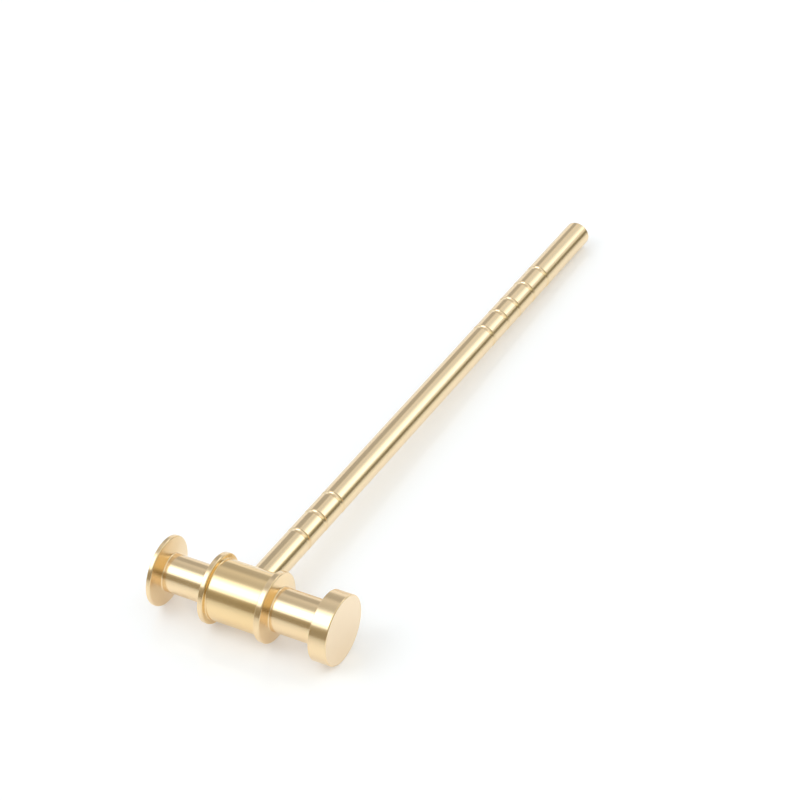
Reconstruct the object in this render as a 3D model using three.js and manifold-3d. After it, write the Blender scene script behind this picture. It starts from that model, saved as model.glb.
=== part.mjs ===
// A watchmaker's hammer in brass: a double-faced head, turned in one piece, and a slim
// handle rod whose threaded end screws into a blind hole in the back of the head.
// Millimetres, +Z up. The hammer lies at rest on z = 0, on the four collars of its head
// and on the tail of its handle. The head runs along X with its flat face towards +X,
// and the handle runs towards +Y.

import * as THREE from 'three';
import { mergeVertices } from 'three/addons/utils/BufferGeometryUtils.js';
import Module from 'manifold-3d';

// Head: diameter of the bar, which the four collars keep, and what is turned off it
const COLLAR_D = 17;
const FLANGE_STEP = 1.15;
const DOMED_NECK_D = 9.2;
const FLAT_NECK_D = 10.7;

// Head: widths along its axis, from the domed face to the flat face
const DOME_HEIGHT = 1.3;
const DOMED_RIM_WIDTH = 1;
const DOMED_NECK_LENGTH = 12.5;
const DOMED_FLANGE_WIDTH = 1.2;
const BARREL_LENGTH = 13.4;
const FLAT_FLANGE_WIDTH = 1.45;
const FLAT_NECK_LENGTH = 12.5;
const FLAT_DISC_WIDTH = 4.5;

// Head: the radius that the tool's nose leaves in each corner, and the broken edges
const SHOULDER_FILLET = 0.7;
const RIM_CHAMFER = 0.15;
const FACE_CHAMFER = 0.3;

// Handle rod: its reach runs from the axis of the head to the tail
const HANDLE_D = 6.6;
const HANDLE_REACH = 172.5;
const TAIL_CHAMFER = 0.35;

// Grip grooves: three near the head, and near the tail two and then three more
const GROOVE_WIDTH = 1.4;
const GROOVE_DEPTH = 0.45;
const GROOVE_PITCH = 8;
const HEAD_GROOVE_COUNT = 3;
const HEAD_GROOVE_OFFSET = 23.6;
const TAIL_GROOVE_COUNT = 3;
const TAIL_GROOVE_OFFSET = 24.3;
const MIDDLE_GROOVE_COUNT = 2;
const MIDDLE_GROOVE_GAP = 6.4;

// Joint: the counterbored seat of the rod, its threaded spigot and the blind hole
const SEAT_DEPTH = 2.4;
const SEAT_SHOULDER = 0.8;
const SPIGOT_CHAMFER = 0.5;
const HOLE_SPARE_DEPTH = 1;
const FRONT_WALL = 3;
const FIT_GAP = 0.25;
const DRILL_POINT_ANGLE = THREE.MathUtils.degToRad(118);

// Smoothness of the turned surfaces
const HEAD_SEGMENTS = 64;
const HANDLE_SEGMENTS = 44;
const ARC_STEPS = 5;

const collarR = COLLAR_D / 2;
const barrelR = collarR - FLANGE_STEP;
const shankR = HANDLE_D / 2;
const spigotR = shankR - SEAT_SHOULDER;

// Stations of the head along its axis, counted from the axis of the handle
const barrelFrom = -BARREL_LENGTH / 2;
const barrelTo = BARREL_LENGTH / 2;
const domedNeckTo = barrelFrom - DOMED_FLANGE_WIDTH;
const domedNeckFrom = domedNeckTo - DOMED_NECK_LENGTH;
const domedRim = domedNeckFrom - DOMED_RIM_WIDTH;
const flatNeckFrom = barrelTo + FLAT_FLANGE_WIDTH;
const flatNeckTo = flatNeckFrom + FLAT_NECK_LENGTH;
const flatFace = flatNeckTo + FLAT_DISC_WIDTH;

// Stations of the joint along the handle, counted from the axis of the head
const drillR = spigotR + FIT_GAP;
const seat = barrelR - SEAT_DEPTH;
const shoulder = seat + FIT_GAP;
const drillPoint = FRONT_WALL - barrelR;
const holeFloor = drillPoint + drillR / Math.tan(DRILL_POINT_ANGLE / 2);
const spigotEnd = holeFloor + HOLE_SPARE_DEPTH;

// A turning profile is a list of points, each a radius and a station along the axis
function point(radius, station) {
  return new THREE.Vector2(radius, station);
}

// A circular arc of a turning profile, hollow where its centre lies outside the work
function arc(centreR, centreStation, radius, fromAngle, toAngle) {
  const points = [];
  for (let i = 0; i <= ARC_STEPS; i += 1) {
    const angle = fromAngle + ((toAngle - fromAngle) * i) / ARC_STEPS;
    const along = centreStation + radius * Math.sin(angle);
    points.push(point(centreR - radius * Math.cos(angle), along));
  }
  return points;
}

// A stretch turned down between two shoulders, with a fillet in each corner
function waist(from, to, radius) {
  const shoulderHeight = collarR - RIM_CHAMFER - radius;
  const fillet = Math.min(SHOULDER_FILLET, shoulderHeight);
  const centreR = radius + fillet;
  return [
    ...arc(centreR, from + fillet, fillet, -Math.PI / 2, 0),
    ...arc(centreR, to - fillet, fillet, 0, Math.PI / 2),
  ];
}

// A collar at the full diameter of the bar, with both edges broken
function collar(from, to, chamferTo) {
  return [
    point(collarR - RIM_CHAMFER, from),
    point(collarR, from + RIM_CHAMFER),
    point(collarR, to - chamferTo),
    point(collarR - chamferTo, to),
  ];
}

// The domed face: part of a sphere from its crown to just inside the rim
function dome() {
  const rimR = collarR - RIM_CHAMFER;
  const halfAngle = 2 * Math.atan(DOME_HEIGHT / rimR);
  const sphereR = rimR / Math.sin(halfAngle);
  const centre = domedRim - DOME_HEIGHT + sphereR;
  const points = [];
  for (let i = 0; i < ARC_STEPS; i += 1) {
    const angle = (halfAngle * i) / ARC_STEPS;
    points.push(point(sphereR * Math.sin(angle), centre - sphereR * Math.cos(angle)));
  }
  return points;
}

// A hollow ring groove cut into the rod by a round-nosed tool
function groove(station) {
  const halfWidth = GROOVE_WIDTH / 2;
  const halfAngle = 2 * Math.atan(GROOVE_DEPTH / halfWidth);
  const noseR = halfWidth / Math.sin(halfAngle);
  const centreR = shankR - GROOVE_DEPTH + noseR;
  return arc(centreR, station, noseR, -halfAngle, halfAngle);
}

// Stations of all grooves; one that would cut into its neighbour is left out
function grooveStations() {
  const tailLast = HANDLE_REACH - TAIL_GROOVE_OFFSET;
  const tailFirst = tailLast - (TAIL_GROOVE_COUNT - 1) * GROOVE_PITCH;
  const middleLast = tailFirst - MIDDLE_GROOVE_GAP;
  const stations = [];
  for (let i = 0; i < HEAD_GROOVE_COUNT; i += 1) {
    stations.push(HEAD_GROOVE_OFFSET + i * GROOVE_PITCH);
  }
  for (let i = MIDDLE_GROOVE_COUNT - 1; i >= 0; i -= 1) {
    stations.push(middleLast - i * GROOVE_PITCH);
  }
  for (let i = 0; i < TAIL_GROOVE_COUNT; i += 1) {
    stations.push(tailFirst + i * GROOVE_PITCH);
  }
  return stations.filter((station, i) => i === 0 || station > stations[i - 1] + GROOVE_WIDTH);
}

// A closed solid for cutting, from a geometry whose shared vertices are merged
function toSolid(wasm, geometry) {
  const bare = geometry.clone();
  bare.deleteAttribute('normal');
  bare.deleteAttribute('uv');
  const merged = mergeVertices(bare);
  const triangles = [];
  for (let i = 0; i < merged.index.count; i += 3) {
    const [a, b, c] = merged.index.array.slice(i, i + 3);
    if (a !== b && b !== c && c !== a) {
      triangles.push(a, b, c);
    }
  }
  return new wasm.Manifold(new wasm.Mesh({
    numProp: 3,
    vertProperties: new Float32Array(merged.attributes.position.array),
    triVerts: new Uint32Array(triangles),
  }));
}

// A geometry again, from a solid
function toGeometry(solid) {
  const mesh = solid.getMesh();
  const geometry = new THREE.BufferGeometry();
  geometry.setAttribute('position', new THREE.BufferAttribute(mesh.vertProperties, 3));
  geometry.setIndex(new THREE.BufferAttribute(mesh.triVerts, 1));
  geometry.computeVertexNormals();
  return geometry;
}

// The head as it leaves the lathe, laid along X
function turnedHead() {
  const profile = [
    ...dome(),
    ...collar(domedRim, domedNeckFrom, RIM_CHAMFER),
    ...waist(domedNeckFrom, domedNeckTo, DOMED_NECK_D / 2),
    ...collar(domedNeckTo, barrelFrom, RIM_CHAMFER),
    ...waist(barrelFrom, barrelTo, barrelR),
    ...collar(barrelTo, flatNeckFrom, RIM_CHAMFER),
    ...waist(flatNeckFrom, flatNeckTo, FLAT_NECK_D / 2),
    ...collar(flatNeckTo, flatFace, FACE_CHAMFER),
    point(0, flatFace),
  ];
  const geometry = new THREE.LatheGeometry(profile, HEAD_SEGMENTS);
  return geometry.rotateZ(-Math.PI / 2);
}

// What the drill and the counterbore take out of the back of the barrel
function handleHole() {
  const seatR = shankR + FIT_GAP;
  const profile = [
    point(0, drillPoint),
    point(drillR, holeFloor),
    point(drillR, seat),
    point(seatR, seat),
    point(seatR, collarR),
    point(0, collarR),
  ];
  return new THREE.LatheGeometry(profile, HANDLE_SEGMENTS);
}

// The rod: spigot, shoulder, grooved shank and chamfered tail
function turnedRod() {
  const profile = [
    point(0, spigotEnd),
    point(spigotR - SPIGOT_CHAMFER, spigotEnd),
    point(spigotR, spigotEnd + SPIGOT_CHAMFER),
    point(spigotR, shoulder),
    point(shankR, shoulder),
    ...grooveStations().flatMap(groove),
    point(shankR, HANDLE_REACH - TAIL_CHAMFER),
    point(shankR - TAIL_CHAMFER, HANDLE_REACH),
    point(0, HANDLE_REACH),
  ];
  return new THREE.LatheGeometry(profile, HANDLE_SEGMENTS);
}

function brass(color, roughness) {
  return new THREE.MeshStandardMaterial({ color, roughness, metalness: 1 });
}

const wasm = await Module();
wasm.setup();
const headSolid = toSolid(wasm, turnedHead()).subtract(toSolid(wasm, handleHole()));

const head = new THREE.Mesh(toGeometry(headSolid), brass(0xdcb878, 0.16));
head.name = 'head';

const handle = new THREE.Mesh(turnedRod(), brass(0xd9b574, 0.2));
handle.name = 'handle';

// At rest the collars and the edge of the tail touch one plane, so the rod dips a little
const tailEdge = HANDLE_REACH - TAIL_CHAMFER;
const restTilt = Math.asin(collarR / Math.hypot(tailEdge, shankR)) - Math.atan2(shankR, tailEdge);

// The origin is the middle of the hammer's footprint, on the plane that it rests on
const hammer = new THREE.Group();
hammer.add(head, handle);
hammer.rotation.x = -restTilt;
hammer.updateMatrixWorld(true);
const box = new THREE.Box3().setFromObject(hammer, true);
const middle = box.getCenter(new THREE.Vector3());
hammer.position.set(-middle.x, -middle.y, -box.min.z);

export default hammer;
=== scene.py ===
# %% [markdown]
# A watchmaker's hammer is two pieces of brass: a double-faced head turned from one bar, and
# a slim rod screwed into the back of it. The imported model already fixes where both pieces
# lie, so the lesson loads it first and takes its places from it. The flat facets of that
# model would show at once in a polish this bright, so both pieces are turned again here with
# much finer surfaces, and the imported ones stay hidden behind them. Blender works in metres,
# so each size is written as a number of millimetres.

# %% Load the fixed frame
import math

import bmesh
import bpy
import numpy as np
from mathutils import Matrix, Vector


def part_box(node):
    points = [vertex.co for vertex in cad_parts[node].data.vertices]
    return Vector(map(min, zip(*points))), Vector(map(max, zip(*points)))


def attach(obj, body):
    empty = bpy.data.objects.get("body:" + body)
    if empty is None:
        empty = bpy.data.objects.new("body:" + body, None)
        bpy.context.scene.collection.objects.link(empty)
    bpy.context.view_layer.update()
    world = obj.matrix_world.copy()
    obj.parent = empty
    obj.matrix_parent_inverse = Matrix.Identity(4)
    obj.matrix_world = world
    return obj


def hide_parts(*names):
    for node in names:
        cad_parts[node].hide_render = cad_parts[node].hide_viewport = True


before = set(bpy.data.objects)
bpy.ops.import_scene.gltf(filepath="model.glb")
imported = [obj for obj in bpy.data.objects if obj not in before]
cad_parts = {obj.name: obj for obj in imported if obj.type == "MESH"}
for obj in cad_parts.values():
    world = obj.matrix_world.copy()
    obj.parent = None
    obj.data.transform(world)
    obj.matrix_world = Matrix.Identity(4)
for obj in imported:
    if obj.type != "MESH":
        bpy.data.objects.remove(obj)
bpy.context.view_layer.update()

MM = 0.001
MICRON = 0.001 * MM

# %% [markdown]
# Everything on a turned piece is measured along its axis and out from it. The head's box
# gives its axis and the radius of its collars. The rod's box gives the station where the two
# axes cross. Lying down, the hammer rests on its collars and on the edge of its tail, and
# those two contacts give the small angle by which the rod dips.

# %% Find both axes
HANDLE_D = 6.6 * MM
HANDLE_REACH = 172.5 * MM
TAIL_ROUND = 0.35 * MM

head_low, head_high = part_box("head")
handle_low, handle_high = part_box("handle")
collar_r = (head_high.z - head_low.z) / 2
shank_r = HANDLE_D / 2

head_middle = (head_low + head_high) / 2
crossing = Vector(((handle_low.x + handle_high.x) / 2, head_middle.y, head_middle.z))
tail_contact = HANDLE_REACH - TAIL_ROUND
dip = math.asin(crossing.z / math.hypot(tail_contact, shank_r))
dip -= math.atan2(shank_r, tail_contact)
head_axis = Vector((1, 0, 0))
handle_axis = Vector((0, math.cos(dip), -math.sin(dip)))
print("the rod dips by", round(math.degrees(dip), 2), "degrees")

# %% [markdown]
# A lathe leaves no perfectly sharp edge on brass, and polishing rounds it further. Each
# profile is therefore written as plain corners, each with its own rounding, and one function
# replaces every corner by an arc that leaves both of its lines without a kink. The same arc
# makes a collar's broken edge, the hollow fillet in a shoulder, the nose of a groove and even
# the domed face. An arc gets a point every ten degrees, and a long one gets more. Each point
# also carries the exact direction that the surface faces there, which is what a mirror finish
# needs most.

# %% Round the corners of a turning profile
ARC_ANGLE = math.radians(10)
ARC_CHORD = 0.7 * MM


def heading(way):
    """The angle of a step along the profile: 0 along the axis, and 90 degrees outwards."""
    return math.atan2(way.x, way.y)


def facing(angle):
    """The direction that the turned surface faces where the profile has this heading."""
    return Vector((math.cos(angle), -math.sin(angle)))


def rounded(corners):
    """Turns corners (radius, station, rounding) into pairs of a profile point and a normal."""
    spots = [Vector(corner[:2]) for corner in corners]
    profile = [(spots[0], facing(heading(spots[1] - spots[0])))]
    for before, here, after, corner in zip(spots, spots[1:], spots[2:], corners[1:]):
        angle = heading(here - before)
        turn = math.remainder(heading(after - here) - angle, math.tau)
        radius = corner[2]
        hollow = math.copysign(1, turn)
        start = here - (here - before).normalized() * radius * math.tan(abs(turn) / 2)
        steps = math.ceil(abs(turn) * max(1 / ARC_ANGLE, radius / ARC_CHORD))
        for step in range(steps + 1):
            normal = facing(angle + turn * step / steps)
            spot = start + (facing(angle) - normal) * radius * hollow
            if (spot - profile[-1][0]).length > MICRON:
                profile.append((spot, normal))
    profile.append((spots[-1], facing(heading(spots[-1] - spots[-2]))))
    return profile


trial = rounded([(0, 0, 0), (shank_r, 0, TAIL_ROUND), (shank_r, HANDLE_D, 0)])
print("the broken edge at the rod's tail takes", len(trial) - 2, "points")

# %% [markdown]
# Spinning the profile round an axis is the whole of turning. Blender's Spin makes the rings,
# and merging the doubled points closes the seam and the two ends. A flat end is a fan of thin
# triangles that meet in the middle, which is harmless because the exact normals are laid on
# later.

# %% Spin a profile into a piece
def turned(name, profile, sides, axis):
    """A closed piece turned about its own Z axis, then laid along the given axis."""
    shape = bmesh.new()
    points = [shape.verts.new((spot.x, 0, spot.y)) for spot, normal in profile]
    lines = [shape.edges.new(pair) for pair in zip(points, points[1:])]
    bmesh.ops.spin(
        shape, geom=points + lines, cent=(0, 0, 0), axis=(0, 0, 1), steps=sides,
        angle=math.tau, use_merge=True,
    )
    bmesh.ops.remove_doubles(shape, verts=shape.verts, dist=MICRON)
    bmesh.ops.recalc_face_normals(shape, faces=shape.faces)
    mesh = bpy.data.meshes.new(name)
    shape.to_mesh(mesh)
    shape.free()
    piece = bpy.data.objects.new(name, mesh)
    bpy.context.scene.collection.objects.link(piece)
    piece.matrix_world = Matrix.LocRotScale(crossing, axis.to_track_quat("Z", "Y"), None)
    print(name, "has", len(mesh.polygons), "faces")
    return piece


# %% [markdown]
# The head is one bar with four collars left at full diameter. Between them lie a neck, the
# barrel and another neck. Their widths follow each other along the axis, counted from the
# place where the rod crosses it, so every station comes from the widths before it.

# %% Measure out the head
DOME_HEIGHT = 1.3 * MM
DOMED_RIM_WIDTH = 1 * MM
DOMED_NECK_LENGTH = 12.5 * MM
DOMED_FLANGE_WIDTH = 1.2 * MM
BARREL_LENGTH = 13.4 * MM
FLAT_FLANGE_WIDTH = 1.45 * MM
FLAT_NECK_LENGTH = 12.5 * MM
FLAT_DISC_WIDTH = 4.5 * MM

barrel_from = -BARREL_LENGTH / 2
barrel_to = BARREL_LENGTH / 2
domed_neck_to = barrel_from - DOMED_FLANGE_WIDTH
domed_neck_from = domed_neck_to - DOMED_NECK_LENGTH
domed_rim = domed_neck_from - DOMED_RIM_WIDTH
flat_neck_from = barrel_to + FLAT_FLANGE_WIDTH
flat_neck_to = flat_neck_from + FLAT_NECK_LENGTH
flat_face = flat_neck_to + FLAT_DISC_WIDTH
print("the head runs from", round((domed_rim - DOME_HEIGHT) / MM, 1), "to",
      round(flat_face / MM, 1), "mm along its axis")

# %% [markdown]
# The waists are turned down between the collars. Their shoulders lean a little, as a tool
# that cuts with its side leaves them, and each corner keeps the small radius of the tool's
# nose. The right edge of a collar is softer than its left one. Writing the collars and the
# waists as two short lists keeps the whole head in a few real sizes.

# %% Write the head's profile
FLANGE_STEP = 1.15 * MM
DOMED_NECK_D = 9.2 * MM
FLAT_NECK_D = 10.7 * MM
SHOULDER_LEAN = math.radians(12)
SHOULDER_FILLET = 0.3 * MM
LEFT_EDGE_ROUND = 0.15 * MM
RIGHT_EDGE_ROUND = 0.4 * MM
FACE_ROUND = 0.3 * MM

barrel_r = collar_r - FLANGE_STEP

# A cap of a sphere leaves its rim at twice the angle of its height over the rim's radius
dome_slope = 2 * math.atan(DOME_HEIGHT / (collar_r + LEFT_EDGE_ROUND))
dome_corner = collar_r - DOME_HEIGHT / math.tan(dome_slope)
dome_radius = dome_corner / math.tan(dome_slope / 2)
crown = domed_rim - DOME_HEIGHT

collars = [
    (domed_rim, domed_neck_from, RIGHT_EDGE_ROUND),
    (domed_neck_to, barrel_from, RIGHT_EDGE_ROUND),
    (barrel_to, flat_neck_from, RIGHT_EDGE_ROUND),
    (flat_neck_to, flat_face, FACE_ROUND),
]
waists = [DOMED_NECK_D / 2, barrel_r, FLAT_NECK_D / 2]

head_corners = [(0, crown, 0), (dome_corner, crown, dome_radius)]
for number, (start, end, right_round) in enumerate(collars):
    head_corners.append((collar_r, start, LEFT_EDGE_ROUND))
    head_corners.append((collar_r, end, right_round))
    if number < len(waists):
        waist_r, waist_end = waists[number], collars[number + 1][0]
        lean = (collar_r - waist_r) * math.tan(SHOULDER_LEAN)
        head_corners.append((waist_r, end + lean, SHOULDER_FILLET))
        head_corners.append((waist_r, waist_end - lean, SHOULDER_FILLET))
head_corners.append((0, flat_face, 0))
head_profile = rounded(head_corners)
print("dome radius in mm:", round(dome_radius / MM, 1))

# %% [markdown]
# The hole for the rod is drilled and counterbored into the back of the barrel. It is cut
# with a turned tool of its own, as a drill would, along the same axis as the rod. The exact
# solver keeps the curved rim where the hole leaves the round barrel.

# %% Turn the head and drill it
HEAD_SIDES = 256
HOLE_SIDES = 96
SEAT_DEPTH = 2.4 * MM
SEAT_SHOULDER = 0.8 * MM
FIT_GAP = 0.25 * MM
FRONT_WALL = 3 * MM
DRILL_POINT_ANGLE = math.radians(118)

drill_r = shank_r - SEAT_SHOULDER + FIT_GAP
seat = barrel_r - SEAT_DEPTH
drill_point = FRONT_WALL - barrel_r
hole_floor = drill_point + drill_r / math.tan(DRILL_POINT_ANGLE / 2)

drill_profile = rounded([
    (0, drill_point, 0),
    (drill_r, hole_floor, 0),
    (drill_r, seat, 0),
    (shank_r + FIT_GAP, seat, 0),
    (shank_r + FIT_GAP, collar_r, 0),
    (0, collar_r, 0),
])
hammer_head = turned("hammer_head", head_profile, HEAD_SIDES, head_axis)
drill = turned("drill", drill_profile, HOLE_SIDES, handle_axis)

drilling = hammer_head.modifiers.new("handle_hole", "BOOLEAN")
drilling.operation = "DIFFERENCE"
drilling.solver = "EXACT"
drilling.object = drill
drilled = hammer_head.evaluated_get(bpy.context.evaluated_depsgraph_get())
hammer_head.data = bpy.data.meshes.new_from_object(drilled)
hammer_head.modifiers.clear()
bpy.data.objects.remove(drill)
print("the drilled head has", len(hammer_head.data.polygons), "faces")

# %% [markdown]
# The rod is drawn brass with eight grip grooves, cut by a round-nosed tool: three near the
# head, and near the tail two and then three more. A groove is three corners, two broken lips
# and one deep corner whose rounding is the tool's nose. At the head end the rod steps down
# to the spigot that is screwed into the head.

# %% Turn the rod
ROD_SIDES = 128
GROOVE_DEPTH = 0.45 * MM
GROOVE_NOSE_R = 0.75 * MM
GROOVE_FLANK = math.radians(62)
GROOVE_LIP_ROUND = 0.08 * MM
GROOVE_PITCH = 8 * MM
HEAD_GROOVE_COUNT = 3
HEAD_GROOVE_OFFSET = 23.6 * MM
TAIL_GROOVE_COUNT = 3
TAIL_GROOVE_OFFSET = 24.3 * MM
MIDDLE_GROOVE_COUNT = 2
MIDDLE_GROOVE_GAP = 6.4 * MM
SPIGOT_CHAMFER = 0.5 * MM
HOLE_SPARE_DEPTH = 1 * MM

tail_last = HANDLE_REACH - TAIL_GROOVE_OFFSET
tail_first = tail_last - (TAIL_GROOVE_COUNT - 1) * GROOVE_PITCH
middle_first = tail_first - MIDDLE_GROOVE_GAP - (MIDDLE_GROOVE_COUNT - 1) * GROOVE_PITCH
groove_groups = [
    (HEAD_GROOVE_OFFSET, HEAD_GROOVE_COUNT),
    (middle_first, MIDDLE_GROOVE_COUNT),
    (tail_first, TAIL_GROOVE_COUNT),
]

corner_depth = GROOVE_DEPTH + GROOVE_NOSE_R * (1 / math.cos(GROOVE_FLANK) - 1)
half_groove = corner_depth / math.tan(GROOVE_FLANK)
spigot_r = shank_r - SEAT_SHOULDER
spigot_end = hole_floor + HOLE_SPARE_DEPTH
shoulder = seat + FIT_GAP

rod_corners = [
    (0, spigot_end, 0),
    (spigot_r - SPIGOT_CHAMFER, spigot_end, 0),
    (spigot_r, spigot_end + SPIGOT_CHAMFER, 0),
    (spigot_r, shoulder, 0),
    (shank_r, shoulder, 0),
]
for first_groove, count in groove_groups:
    for number in range(count):
        station = first_groove + number * GROOVE_PITCH
        rod_corners += [
            (shank_r, station - half_groove, GROOVE_LIP_ROUND),
            (shank_r - corner_depth, station, GROOVE_NOSE_R),
            (shank_r, station + half_groove, GROOVE_LIP_ROUND),
        ]
rod_corners += [(shank_r, HANDLE_REACH, TAIL_ROUND), (0, HANDLE_REACH, 0)]
rod_profile = rounded(rod_corners)
handle_rod = turned("handle_rod", rod_profile, ROD_SIDES, handle_axis)

# %% [markdown]
# A polished cylinder acts as a mirror, and a mirror shows every error in the direction that
# its surface faces. Blender would average that direction from the faces round each point,
# which bends reflections near an edge. The profile knows the exact direction, so each point
# of a piece is looked up on it. That also tells how far along the profile the point lies,
# which is the path that the tool took.

# %% Look up points on a profile
def read_array(items, field, width):
    """Reads one field of every item of a mesh into an array."""
    values = np.empty(len(items) * width, np.float32)
    items.foreach_get(field, values)
    return values.reshape(-1, width)


def follow_profile(spots, profile):
    """How far along the profile each spot lies, and the normal of the profile there."""
    points = np.array([spot for spot, normal in profile])
    normals = np.array([normal for spot, normal in profile])
    steps = np.diff(points, axis=0)
    lengths = np.linalg.norm(steps, axis=1)
    starts = np.concatenate([[0], np.cumsum(lengths)[:-1]])
    away = spots[:, None] - points[:-1]
    share = np.clip((away * steps).sum(axis=2) / lengths**2, 0, 1)
    missed = np.linalg.norm(away - share[..., None] * steps, axis=2)
    nearest = missed.argmin(axis=1)
    rows = np.arange(len(spots))
    part = share[rows, nearest]
    path = starts[nearest] + part * lengths[nearest]
    blend = normals[nearest] * (1 - part[:, None]) + normals[nearest + 1] * part[:, None]
    return path, blend / np.linalg.norm(blend, axis=1, keepdims=True)


print("profile points:", len(head_profile), "on the head and", len(rod_profile), "on the rod")

# %% [markdown]
# A normal belongs to a corner of a face, and several faces meet in one point. A corner gets
# the exact normal where its face looks about the same way. The faces of the drilled hole
# don't, so they keep the averaged normals, with a sharp edge wherever two of them meet at an
# angle. The path is kept in millimetres, because the tool marks are drawn along it.

# %% Lay exact normals and the tool's path on each piece
SAME_SURFACE = 0.8
SHARP_ANGLE = math.radians(30)
METRE_DIGITS = 8


def finish_surface(piece, profile):
    """Lays exact normals and the tool's path on a piece, and returns that path's length."""
    mesh = piece.data
    mesh.shade_smooth()
    mesh.set_sharp_from_angle(angle=SHARP_ANGLE)
    places = read_array(mesh.vertices, "co", 3)
    radius = np.hypot(places[:, 0], places[:, 1])
    on_plane = np.round(np.stack([radius, places[:, 2]], axis=1), METRE_DIGITS)
    spots, which = np.unique(on_plane, axis=0, return_inverse=True)
    path, normal = follow_profile(spots, profile)
    path, normal = path[which.ravel()], normal[which.ravel()]
    outwards = places[:, :2] / np.maximum(radius, MICRON)[:, None]
    exact = np.column_stack([outwards * normal[:, :1], normal[:, 1]])

    corners = read_array(mesh.loops, "vertex_index", 1).astype(int).ravel()
    averaged = read_array(mesh.corner_normals, "vector", 3)
    face_sizes = read_array(mesh.polygons, "loop_total", 1).astype(int).ravel()
    faces = np.repeat(read_array(mesh.polygons, "normal", 3), face_sizes, axis=0)
    on_profile = (faces * exact[corners]).sum(axis=1) > SAME_SURFACE
    chosen = np.where(on_profile[:, None], exact[corners], averaged)
    mesh.normals_split_custom_set(chosen.tolist())

    tool_path = mesh.attributes.new("tool_path", "FLOAT", "POINT")
    tool_path.data.foreach_set("value", (path / MM).astype(np.float32))
    print(piece.name, "profile is", round(path.max() / MM, 1), "mm long,",
          round(100 * on_profile.mean()), "% of its corners are exact")
    return path.max() / MM


head_path_length = finish_surface(hammer_head, head_profile)
rod_path_length = finish_surface(handle_rod, rod_profile)

# %% [markdown]
# Brass is copper with about a third of zinc. This one is a free-cutting brass of a warm,
# pale yellow. Its colour is all in its reflection, so it is a metal through and through, and
# the colour here is what it sends back of white light. Colours are written as they look on a
# screen, and one function turns them into the linear values that Blender mixes. Another small
# function adds a node together with its settings and links.

# %% Helpers for materials
def linear(code):
    """Turns an sRGB hex colour into Blender's linear red, green, blue and alpha."""
    levels = [int(code[place:place + 2], 16) / 255 for place in (1, 3, 5)]
    return [
        level / 12.92 if level <= 0.04045 else ((level + 0.055) / 1.055) ** 2.4
        for level in levels
    ] + [1]


def add_node(tree, kind, inputs, **settings):
    """Adds a node with its settings, and fills or links each input by name or number."""
    node = tree.nodes.new(kind)
    for name, value in settings.items():
        setattr(node, name, value)
    for name, value in inputs.items():
        if isinstance(value, bpy.types.NodeSocket):
            tree.links.new(value, node.inputs[name])
        else:
            node.inputs[name].default_value = value
    return node


def new_tree(owner):
    """Empties the node tree of a material or a world and returns it."""
    owner.use_nodes = True
    owner.node_tree.nodes.clear()
    return owner.node_tree


POLISHED_BRASS = "#F2D9B1"
print("polished brass in linear light:", [round(v, 3) for v in linear(POLISHED_BRASS)])

# %% [markdown]
# Both pieces were turned and then polished on a wheel. The polish leaves the last tool marks
# as very faint rings, each thinner than a pixel, so they are drawn a little coarser than they
# are. The wheel also leaves the surface very slightly wavy, which keeps a reflection from
# looking computed. Neither can be felt, so both are bumps: one noise runs along the tool's
# path, and the other runs through the whole piece.

# %% Make the relief of a polished turning
WAVE_SIZE = 9 * MM
WAVE_DEPTH = 4 * MICRON


def brass_relief(tree, place, tool_path, mark_pitch, mark_depth):
    """Faint rings along the tool's path, with the slow waves of the polishing wheel."""
    turns = add_node(tree, "ShaderNodeMath", {
        0: tool_path.outputs["Fac"], 1: 1 / (mark_pitch / MM),
    }, operation="MULTIPLY")
    marks = add_node(tree, "ShaderNodeTexNoise", {
        "W": turns.outputs["Value"], "Scale": 1, "Detail": 2,
    }, noise_dimensions="1D")
    rings = add_node(tree, "ShaderNodeBump", {
        "Height": marks.outputs["Fac"], "Distance": mark_depth, "Strength": 1,
    })
    wheel = add_node(tree, "ShaderNodeTexNoise", {
        "Vector": place.outputs["Object"], "Scale": 1 / WAVE_SIZE, "Detail": 1,
    })
    waves = add_node(tree, "ShaderNodeBump", {
        "Height": wheel.outputs["Fac"], "Distance": WAVE_DEPTH, "Strength": 1,
        "Normal": rings.outputs["Normal"],
    })
    return waves.outputs["Normal"]


print("the wheel's waves:", round(WAVE_SIZE / MM), "mm long and",
      round(WAVE_DEPTH / MICRON), "microns deep")

# %% [markdown]
# The colour drifts a little between two close shades. The barrel is painted a touch deeper,
# as painted shade for the warm, shaded floor that it mirrors. The striking face was lapped
# flat on fine abrasive instead of polished, and it is painted paler, as a painted reflection
# of the bright, bluish card that it mirrors.

# %% Make the colour of the brass
# Painted shade: a deeper tint on the barrel, for the shaded floor that it mirrors
BARREL_PAINTED_SHADE = "#FFFCF0"
# Painted reflection: a paler colour on the striking face, for the bright card that it mirrors
PAINTED_PALE_FACE = "#F6E0C0"
BLEND = 0.1 * MM


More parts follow.
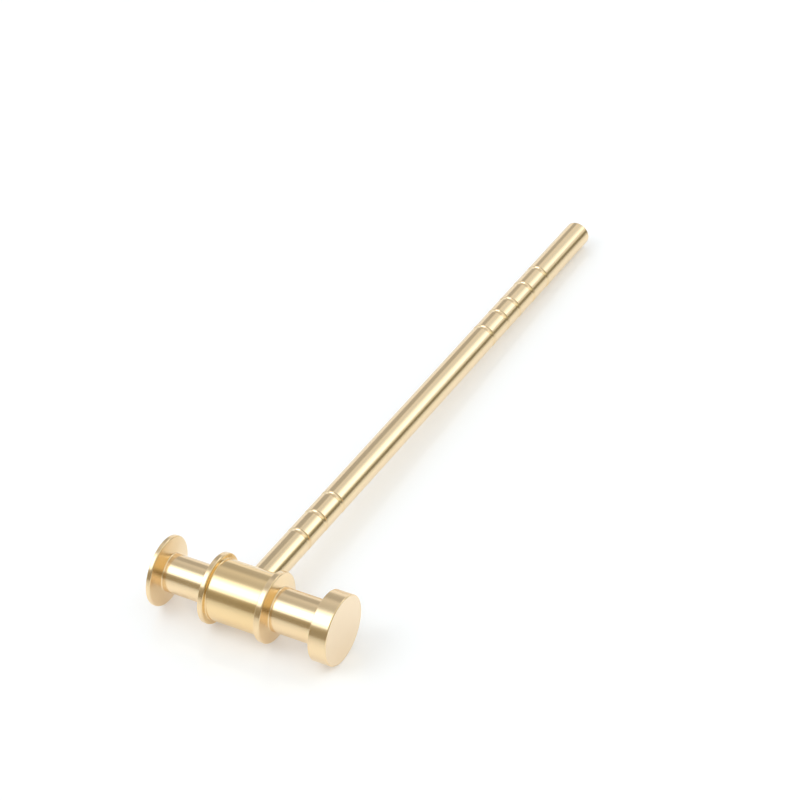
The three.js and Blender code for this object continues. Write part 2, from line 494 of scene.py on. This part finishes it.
def brass_colour(tree, place, patches, lapped, bright, deep):
    """Two shades in soft patches, with painted shade on the barrel and a painted pale reflection
    on the lapped face.
    """
    tint = add_node(tree, "ShaderNodeMix", {
        0: patches.outputs["Fac"], 6: linear(deep), 7: linear(bright),
    }, data_type="RGBA")
    spread = add_node(tree, "ShaderNodeSeparateXYZ", {"Vector": place.outputs["Object"]})
    off_centre = add_node(tree, "ShaderNodeMath", {
        0: spread.outputs["Z"],
    }, operation="ABSOLUTE")
    barrel = add_node(tree, "ShaderNodeMapRange", {
        "Value": off_centre.outputs["Value"],
        "From Min": barrel_to, "From Max": barrel_to + BLEND, "To Min": 1, "To Max": 0,
    })
    # Painted shade: the barrel's tint multiplies the brass colour there
    painted_barrel_shade = add_node(tree, "ShaderNodeMix", {
        0: barrel.outputs["Result"], 6: tint.outputs["Result"], 7: linear(BARREL_PAINTED_SHADE),
    }, data_type="RGBA", blend_type="MULTIPLY")
    # Painted reflection: the lapped face takes the paler colour
    colour = add_node(tree, "ShaderNodeMix", {
        0: lapped.outputs["Result"], 6: painted_barrel_shade.outputs["Result"], 7: linear(PAINTED_PALE_FACE),
    }, data_type="RGBA")
    return colour.outputs["Result"]


print("the barrel's deeper shade ends", round(barrel_to / MM, 1), "mm from the rod's axis")

# %% [markdown]
# How sharp a reflection is tells how well the wheel reached a place. It reaches the outside
# of a collar or a neck, which comes out nearly a mirror, though not equally everywhere. It
# doesn't reach far down the sides of the collars, so what shines there is a little softer.
# The lapped striking face is a satin disc that shows only a glow. A side is known by its
# normal, which lies close to the axis of the piece. The domed face looks that way too, and
# gets the same softer polish.

# %% Make the sharpness of the polish
# Nearly all of the patches' noise lies between these two levels
PATCH_FROM, PATCH_TO = 0.35, 0.7
# The share of the normal that lies along the axis, where a side begins and where it is full
SIDE_FROM, SIDE_TO = 0.9, 0.97
SIDE_HAZE = 0.08
LAP_HAZE = 0.07


def brass_roughness(tree, place, patches, lapped, roughness, haze):
    """A polish that varies in patches, softer on the sides of collars and where lapped."""
    sharpness = add_node(tree, "ShaderNodeMapRange", {
        "Value": patches.outputs["Fac"], "From Min": PATCH_FROM, "From Max": PATCH_TO,
        "To Min": roughness, "To Max": roughness + haze,
    })
    outwards = add_node(tree, "ShaderNodeSeparateXYZ", {"Vector": place.outputs["Normal"]})
    endwise = add_node(tree, "ShaderNodeMath", {
        0: outwards.outputs["Z"],
    }, operation="ABSOLUTE")
    side = add_node(tree, "ShaderNodeMapRange", {
        "Value": endwise.outputs["Value"], "From Min": SIDE_FROM, "From Max": SIDE_TO,
        "To Min": 0, "To Max": SIDE_HAZE,
    })
    softer = add_node(tree, "ShaderNodeMath", {
        0: side.outputs["Result"], 1: sharpness.outputs["Result"],
    }, operation="ADD")
    satin = add_node(tree, "ShaderNodeMath", {
        0: lapped.outputs["Result"], 1: LAP_HAZE, 2: softer.outputs["Value"],
    }, operation="MULTIPLY_ADD")
    return satin.outputs["Value"]


print("haze on the sides:", SIDE_HAZE, "and on the striking face:",
      round(SIDE_HAZE + LAP_HAZE, 2))

# %% [markdown]
# The head is turned and polished brass: mirror bands with faint rings across them. The rod is
# bright drawn brass, a shade paler, and its marks lie a little further apart. The head's lap
# starts where its profile turns onto the flat face. The rod isn't lapped, so for it the lap
# starts at the end of the profile, and the part of it with the barrel's painted shade lies
# hidden in the head.

# %% Make both brasses
PATCH_SIZE = 7 * MM


def turned_brass(name, bright, deep, roughness, haze, mark_pitch, mark_depth, lap_from):
    """Polished brass with faint tool marks along the tool's path, lapped past one place."""
    brass = bpy.data.materials.new(name)
    tree = new_tree(brass)
    place = add_node(tree, "ShaderNodeTexCoord", {})
    tool_path = add_node(tree, "ShaderNodeAttribute", {}, attribute_name="tool_path")
    patches = add_node(tree, "ShaderNodeTexNoise", {
        "Vector": place.outputs["Object"], "Scale": 1 / PATCH_SIZE, "Detail": 3,
    })
    lapped = add_node(tree, "ShaderNodeMapRange", {
        "Value": tool_path.outputs["Fac"],
        "From Min": lap_from, "From Max": lap_from + BLEND / MM,
    })
    surface = add_node(tree, "ShaderNodeBsdfPrincipled", {
        "Base Color": brass_colour(tree, place, patches, lapped, bright, deep),
        "Metallic": 1,
        "Roughness": brass_roughness(tree, place, patches, lapped, roughness, haze),
        "Normal": brass_relief(tree, place, tool_path, mark_pitch, mark_depth),
    })
    add_node(tree, "ShaderNodeOutputMaterial", {"Surface": surface.outputs["BSDF"]})
    return brass


head_brass = turned_brass(
    "turned_and_polished_brass", POLISHED_BRASS, "#F0D5A9",
    roughness=0.15, haze=0.03, mark_pitch=0.4 * MM, mark_depth=0.4 * MICRON,
    lap_from=head_path_length - (collar_r - FACE_ROUND) / MM,
)
rod_brass = turned_brass(
    "bright_drawn_brass", "#F2DBB5", "#F0D7AD",
    roughness=0.15, haze=0.03, mark_pitch=0.5 * MM, mark_depth=0.3 * MICRON,
    lap_from=rod_path_length,
)
hammer_head.data.materials.clear()
hammer_head.data.materials.append(head_brass)
handle_rod.data.materials.append(rod_brass)
print("the lap starts", round(head_path_length - (collar_r - FACE_ROUND) / MM, 1),
      "mm along the head's profile")

# %% [markdown]
# Both pieces ride on the one body of the model, because a screwed rod doesn't move in its
# head. Each one stands for its imported piece, which is hidden behind it.

# %% Tie both pieces to the frame
for piece, node, slot in [
    (hammer_head, "head", "head_brass"),
    (handle_rod, "handle", "handle_brass"),
]:
    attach(piece, "root")
    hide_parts(node)
    print(piece.name, "stands for", node, "in slot", slot)

# %% [markdown]
# The hammer lies on a plain sheet of white card. A studio bends such a sheet up behind the
# object, but this camera looks down and sees no horizon, so one flat disc is enough. It
# reaches far past the walls of the room, so that no edge of it shows in the brass.

# %% Lay the floor
FLOOR_RADIUS = 12.0
FLOOR_SIDES = 96

floor_shape = bmesh.new()
bmesh.ops.create_circle(floor_shape, cap_ends=True, segments=FLOOR_SIDES, radius=FLOOR_RADIUS)
floor_mesh = bpy.data.meshes.new("floor")
floor_shape.to_mesh(floor_mesh)
floor_shape.free()
floor = bpy.data.objects.new("floor", floor_mesh)
bpy.context.scene.collection.objects.link(floor)
print("floor reaches", FLOOR_RADIUS, "m from the hammer")

# %% [markdown]
# The card is uncoated paper, matt from above, so it keeps the soft shadow. At a low angle any
# paper shines a little, and there it mirrors the dark walls, which the brass shows again
# near the ground. Where the camera or the brass looks at it, the card also glows a little,
# so that it comes out white where nothing shades it. The glow lights nothing else.

# %% Make the white card
CARD_WHITE = "#F4F4F3"
CARD_GLOW = "#EEF5FF"
GLOW_STRENGTH = 0.255
CARD_SHEEN_ROUGHNESS = 0.2
CARD_IOR = 1.55

card = bpy.data.materials.new("white_card")
tree = new_tree(card)
ray = add_node(tree, "ShaderNodeLightPath", {})
looked_at = add_node(tree, "ShaderNodeMath", {
    0: ray.outputs["Is Camera Ray"], 1: ray.outputs["Is Glossy Ray"],
}, operation="MAXIMUM")
seen = add_node(tree, "ShaderNodeMath", {
    0: looked_at.outputs["Value"], 1: ray.outputs["Is Transmission Ray"],
}, operation="MAXIMUM")
glow = add_node(tree, "ShaderNodeMath", {
    0: seen.outputs["Value"], 1: GLOW_STRENGTH,
}, operation="MULTIPLY")
matt = add_node(tree, "ShaderNodeBsdfDiffuse", {"Color": linear(CARD_WHITE)})
shine = add_node(tree, "ShaderNodeEmission", {
    "Color": linear(CARD_GLOW), "Strength": glow.outputs["Value"],
})
body = add_node(tree, "ShaderNodeAddShader", {
    0: matt.outputs["BSDF"], 1: shine.outputs["Emission"],
})
sheen = add_node(tree, "ShaderNodeBsdfGlossy", {
    "Color": linear("#FFFFFF"), "Roughness": CARD_SHEEN_ROUGHNESS,
})
slant = add_node(tree, "ShaderNodeFresnel", {"IOR": CARD_IOR})
both = add_node(tree, "ShaderNodeMixShader", {
    0: slant.outputs["Fac"], 1: body.outputs["Shader"], 2: sheen.outputs["BSDF"],
})
add_node(tree, "ShaderNodeOutputMaterial", {"Surface": both.outputs["Shader"]})
floor_mesh.materials.append(card)
print("the card glows at", GLOW_STRENGTH, "of white where it is looked at")

# %% [markdown]
# Polished metal has no look of its own: it shows the room. The bright and dark bands along
# the hammer are the lights and the walls of a small white studio, so the room is built here
# from flat boards that glow: lamps far above the level of white paper, walls below it. The
# glow of a board changes slowly along it, as the light on a real wall does, and a ramp of
# levels over the board's own places gives that.

# %% Make a cover that glows
ACROSS, DEEP, UP = Vector((1, 0, 0)), Vector((0, 1, 0)), Vector((0, 0, 1))


def glowing_cover(name, tint, levels, along):
    """A glow of one tint. Levels pair a place in one direction with a share of white."""
    cover = bpy.data.materials.new(name)
    tree = new_tree(cover)
    glow = add_node(tree, "ShaderNodeEmission", {
        "Color": linear(tint), "Strength": levels[0][1],
    })
    if len(levels) > 1:
        first, last = levels[0][0], levels[-1][0]
        top = max(level for place, level in levels)
        spot = add_node(tree, "ShaderNodeTexCoord", {})
        distance = add_node(tree, "ShaderNodeVectorMath", {
            0: spot.outputs["Object"], 1: along,
        }, operation="DOT_PRODUCT")
        share = add_node(tree, "ShaderNodeMapRange", {
            "Value": distance.outputs["Value"], "From Min": first, "From Max": last,
        })
        fade = add_node(tree, "ShaderNodeValToRGB", {"Fac": share.outputs["Result"]})
        stops = fade.color_ramp.elements
        while len(stops) < len(levels):
            stops.new(1)
        for stop, (place, level) in zip(stops, levels):
            stop.position = (place - first) / (last - first)
            stop.color = (level / top, level / top, level / top, 1)
        strength = add_node(tree, "ShaderNodeMath", {
            0: fade.outputs["Color"], 1: top,
        }, operation="MULTIPLY")
        tree.links.new(strength.outputs["Value"], glow.inputs["Strength"])
    add_node(tree, "ShaderNodeOutputMaterial", {"Surface": glow.outputs["Emission"]})
    return cover


print("a glow can change along:", [tuple(way) for way in (ACROSS, DEEP, UP)])

# %% [markdown]
# A board is one flat face. It lights the floor as well as the brass, and that gives the
# shadow its direction. The camera looks straight through it.

# %% Make a board for the studio
def board(name, corners, tint, levels, along=UP):
    """A flat glowing board that stands on the stage and is hidden from the camera."""
    shape = bmesh.new()
    shape.faces.new([shape.verts.new(corner) for corner in corners])
    mesh = bpy.data.meshes.new(name)
    shape.to_mesh(mesh)
    shape.free()
    mesh.materials.append(glowing_cover(name, tint, levels, along))
    sheet = bpy.data.objects.new(name, mesh)
    bpy.context.scene.collection.objects.link(sheet)
    sheet.visible_camera = False
    print(name, "glows at", [level for place, level in levels], "of white")
    return sheet


# %% [markdown]
# The main light is a soft box above the camera's side, to the left. Its long edges run along
# the head, so it draws straight bands on it. It is brightest in the middle and fades towards
# both edges, and so do the bands. Its levels are given by the angle from overhead at which
# the head sees them, because that angle decides where on a cylinder they show.

# %% Hang the key light
LAMP = "#F3F9FF"
KEY_DISTANCE = 2.0
KEY_ANGLE = math.radians(29)
KEY_X = (-1.7, -0.45)
KEY_LEVELS = [
    (60, 0.5), (57.5, 1.3), (53, 1.95), (47, 2.2), (44, 2.9), (24, 2.9), (16, 2.1),
    (9, 1.5), (5, 1.1), (2.5, 0.78), (-0.5, 0.67),
]


def on_key(degrees, x):
    """A point of the key light's sheet, seen from the head at this angle from overhead."""
    reach = math.tan(KEY_ANGLE - math.radians(degrees)) * KEY_DISTANCE
    middle = Vector((0, -math.sin(KEY_ANGLE), math.cos(KEY_ANGLE))) * KEY_DISTANCE
    upwards = Vector((0, math.cos(KEY_ANGLE), math.sin(KEY_ANGLE))) * reach
    return crossing + middle + upwards + Vector((x, 0, 0))


lowest, highest = KEY_LEVELS[0][0], KEY_LEVELS[-1][0]
board(
    "key_light",
    [on_key(lowest, KEY_X[0]), on_key(lowest, KEY_X[1]),
     on_key(highest, KEY_X[1]), on_key(highest, KEY_X[0])],
    LAMP, [(on_key(angle, 0).z, level) for angle, level in KEY_LEVELS],
)

# %% [markdown]
# The second light is a large sheet behind and above, more to the right, which brightens the
# rod and the tops of the collars. It fades to the left along a slanting line. A smaller sheet
# on the right reaches from it to a place almost overhead. Both plans are written for a height
# of one and scaled to the real one, so that raising the sheets leaves their bands on the
# brass where they are.

# %% Hang the two overhead sheets
RIM_HEIGHT = 1.6
RIM_SLANT = Vector((1, -0.6, 0))
RIM_PLAN = [(-0.08, 0.98), (2.2, 0.98), (2.2, 1.85), (0.15, 1.85)]
RIM_LEVELS = [
    (-1, 0.9), (-0.65, 0.9), (-0.55, 1.0), (-0.44, 1.28), (-0.33, 1.5), (-0.22, 1.7),
    (-0.1, 1.85), (0.1, 1.95), (0.9, 1.8), (2.2, 1.6),
]
OVERHEAD_PLAN = [(0.4, 0.05), (0.85, 0.05), (0.85, 0.98), (0.4, 0.98)]
board(
    "rim_light", [Vector((x, y, 1)) * RIM_HEIGHT for x, y in RIM_PLAN],
    LAMP, [(place * RIM_HEIGHT, level) for place, level in RIM_LEVELS], along=RIM_SLANT,
)
board(
    "overhead_sheet", [Vector((x, y, 1)) * RIM_HEIGHT for x, y in OVERHEAD_PLAN],
    LAMP, [(0, 1.2)],
)

# %% [markdown]
# The room round the lights is an ordinary one. The wall in front is warm and dim, and the
# cream wall to the right is dark near the floor and bright at the top. They draw the dark
# bands and the deep gold beside the necks. The left side and the horizon are bright, and a
# grey screen stands at the back left.

# %% Stand the walls
WARM, CREAM, NEUTRAL, COOL = "#FFF4D7", "#FFFBE0", "#FFFFFF", "#F2F8FF"
CEILING = 3.5


def wall(x_range, y_range, z_range):
    """The four corners of an upright or a level board, one range of which is flat."""
    (x0, x1), (y0, y1), (z0, z1) = x_range, y_range, z_range
    if z0 == z1:
        spots = ((x0, y0, z0), (x1, y0, z0), (x1, y1, z0), (x0, y1, z0))
    else:
        spots = ((x0, y0, z0), (x1, y1, z0), (x1, y1, z1), (x0, y0, z1))
    return [Vector(spot) for spot in spots]


board("front_wall", wall((-1.9, 6), (-3, -3), (0, 1.7)), WARM,
      [(0, 0.36), (0.8, 0.36), (1.4, 0.45), (1.7, 0.52)])
board("front_wall_top", wall((-1.9, 6), (-3, -3), (1.7, CEILING)), NEUTRAL,
      [(1.7, 0.5), (2.1, 0.75), (2.6, 0.95)])
board("front_left_wall", wall((-6, -1.9), (-3, -3), (0, CEILING)), NEUTRAL,
      [(0, 0.52), (1.7, 0.55), (2.4, 1.1)])
board("right_wall", wall((3, 3), (-3, 6), (0, CEILING)), CREAM,
      [(0, 0.22), (0.7, 0.24), (1.0, 0.4), (1.3, 0.7), (1.6, 0.9), (2.0, 0.98)])
board("left_wall", wall((-4, -4), (-3, 3.3), (0, CEILING)), COOL,
      [(0, 0.9), (1.0, 1.0), (1.5, 1.15)])
board("back_screen", wall((-4, -1.45), (3.25, 3.25), (1.02, CEILING)), NEUTRAL, [(0, 0.5)])
board("back_wall", wall((-1.45, 3), (3.25, 3.25), (1.02, CEILING)), NEUTRAL,
      [(-1.45, 0.75), (-1.0, 0.86)], along=ACROSS)
board("ceiling", wall((-4, 3), (-3, 3.25), (CEILING, CEILING)), NEUTRAL,
      [(-0.3, 0.95), (0, 0.65), (0.5, 0.61), (1.2, 0.68), (2.0, 0.77), (2.6, 0.7), (3.25, 0.52)],
      along=DEEP)

# %% [markdown]
# The world is plain white. It fills the gaps of the room, which is what makes the bright
# horizon, and it is the background that a camera sees from lower down.

# %% Fill the world
world = bpy.data.worlds.new("studio")
bpy.context.scene.world = world
tree = new_tree(world)
surround = add_node(tree, "ShaderNodeBackground", {"Color": linear("#FFFFFF"), "Strength": 1})
add_node(tree, "ShaderNodeOutputWorld", {"Surface": surround.outputs["Background"]})
bpy.context.scene.view_settings.view_transform = "Standard"
print("the world is at", surround.inputs["Strength"].default_value, "of white")

# %% [markdown]
# The camera stands where the photograph's camera stood: well back, with a long lens, to the
# right of the head and above it. It is placed by the angles of its line of sight and by the
# point on the floor that it looks at, and it leans by about one degree.

# %% Place the camera
VIEW_AZIMUTH = math.radians(28.67)
VIEW_ELEVATION = math.radians(37.04)
VIEW_ROLL = math.radians(-0.94)
VIEW_DISTANCE = 864.6 * MM
VIEW_TARGET = Vector((-10.58, 9.21, 0)) * MM
LENS = 157.5
SENSOR = 36

lens = bpy.data.cameras.new("view")
lens.lens = LENS
lens.sensor_width = SENSOR
lens.clip_start = 0.01
camera = bpy.data.objects.new("view", lens)
bpy.context.scene.collection.objects.link(camera)
bpy.context.scene.camera = camera

back = Vector((
    math.sin(VIEW_AZIMUTH) * math.cos(VIEW_ELEVATION),
    -math.cos(VIEW_AZIMUTH) * math.cos(VIEW_ELEVATION),
    math.sin(VIEW_ELEVATION),
))
sideways = Vector((math.cos(VIEW_AZIMUTH), math.sin(VIEW_AZIMUTH), 0))
upright = back.cross(sideways)
right = sideways * math.cos(VIEW_ROLL) + upright * math.sin(VIEW_ROLL)
turn = Matrix((right, back.cross(right), back)).transposed()
camera.matrix_world = (
    Matrix.Translation(VIEW_TARGET + back * VIEW_DISTANCE) @ turn.to_4x4()
)
print("camera at", [round(v, 3) for v in camera.matrix_world.translation])
